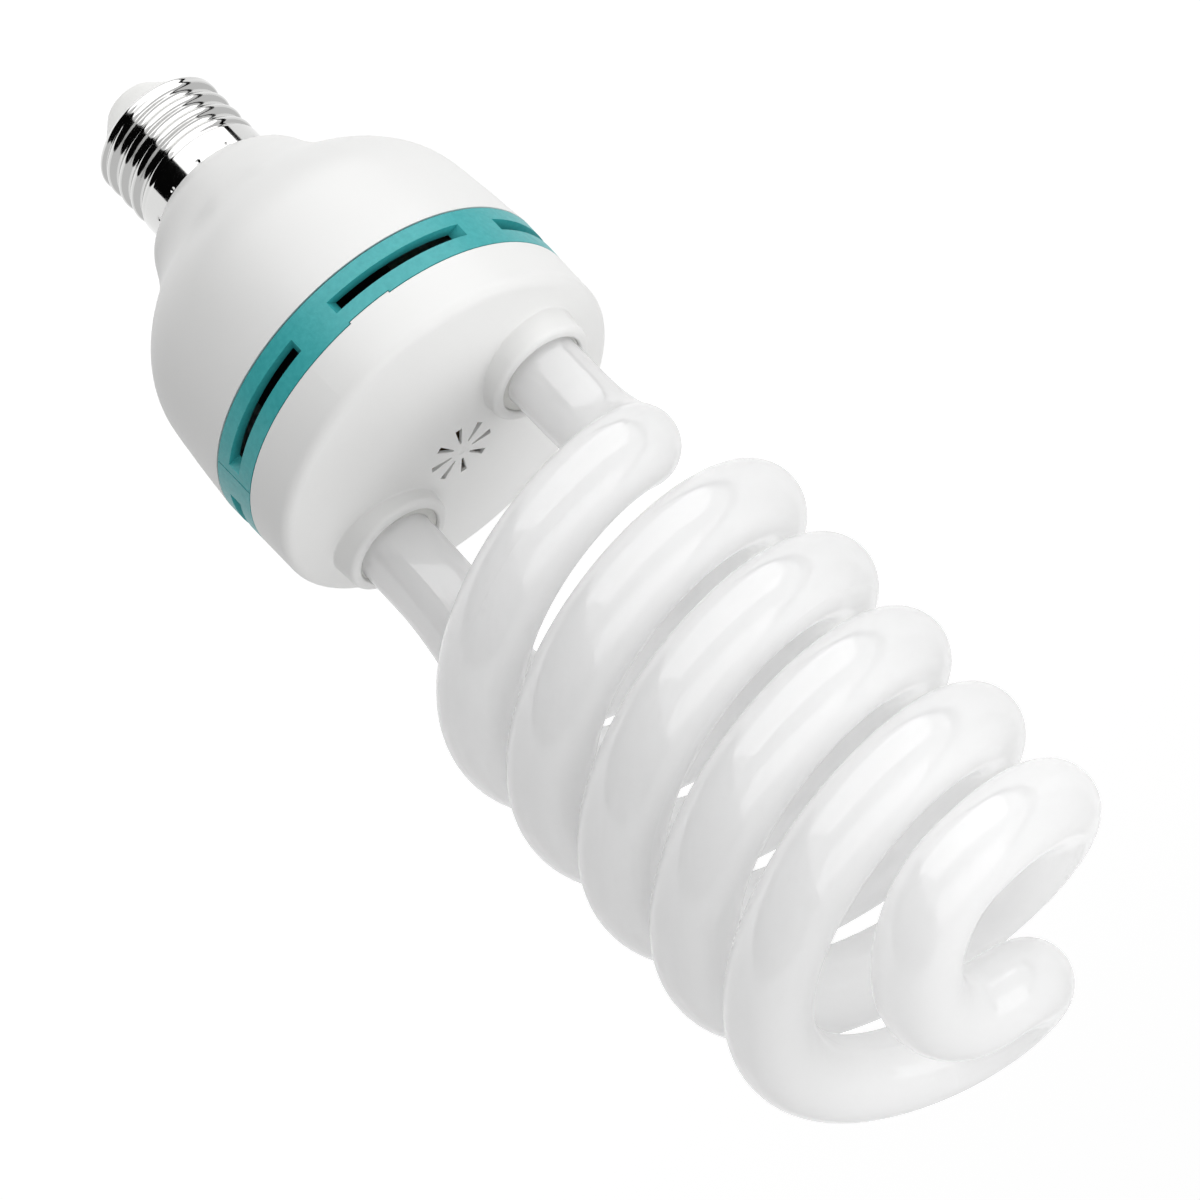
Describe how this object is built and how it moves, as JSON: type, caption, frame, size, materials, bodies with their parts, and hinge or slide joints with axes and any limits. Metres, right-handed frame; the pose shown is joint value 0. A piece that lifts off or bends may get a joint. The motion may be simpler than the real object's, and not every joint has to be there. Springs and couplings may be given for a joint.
{
  "type": "spiral fluorescent studio lamp",
  "caption": "Spiral fluorescent studio lamp with a screw cap, a ballast housing with a slotted vent ring, and a glass tube wound as a helix.",
  "frame": {"origin": "middle of the end contact's outer face, the lowest point of the lamp", "axes": "+Z along the lamp's axis from the cap to the tip of the spiral; the legs of the tube leave the housing on +X and -X"},
  "size_m": [0.0768, 0.0768, 0.2497],
  "materials": {
    "nickel_plate": "polished nickel plate",
    "insulator_white": "gloss",
    "housing_white": "satin",
    "ring_teal": "fine grain",
    "opal_glass": "gloss over white phosphor",
    "silicone": "satin",
    "board_paper": "satin",
    "capacitor_sleeve": "gloss",
    "ferrite": "matt",
    "black_moulding": "satin",
    "copper": "enamelled",
    "aluminium_plate": "mill",
    "film_dip": "gloss",
    "resistor_coat": "satin",
    "wire_sleeve": "satin",
    "lead_wire": "tinned"
  },
  "bodies": {
    "root": {"centre_contact": "nickel_plate", "base_insulator": "insulator_white", "screw_shell": "nickel_plate", "upper_housing": "housing_white", "vent_ring": "ring_teal", "lower_housing": "housing_white", "spiral_tube": "opal_glass", "tube_cement": "silicone", "circuit_board": "board_paper", "bulk_capacitor_1": "capacitor_sleeve", "bulk_capacitor_2": "capacitor_sleeve", "choke_core": "ferrite", "choke_bobbin": "black_moulding", "choke_winding": "copper", "filter_core": "ferrite", "filter_winding": "copper", "toroid_core": "ferrite", "toroid_winding": "copper", "power_transistor_1": "black_moulding", "power_transistor_2": "black_moulding", "heat_sink_1": "aluminium_plate", "heat_sink_2": "aluminium_plate", "film_capacitor_1": "film_dip", "film_capacitor_2": "film_dip", "film_capacitor_3": "film_dip", "bridge_rectifier": "black_moulding", "fuse_resistor": "resistor_coat", "phase_wire": "wire_sleeve", "neutral_wire": "wire_sleeve", "filament_lead_1": "lead_wire", "filament_lead_2": "lead_wire", "filament_lead_3": "lead_wire", "filament_lead_4": "lead_wire"}
  },
  "joints": []
}
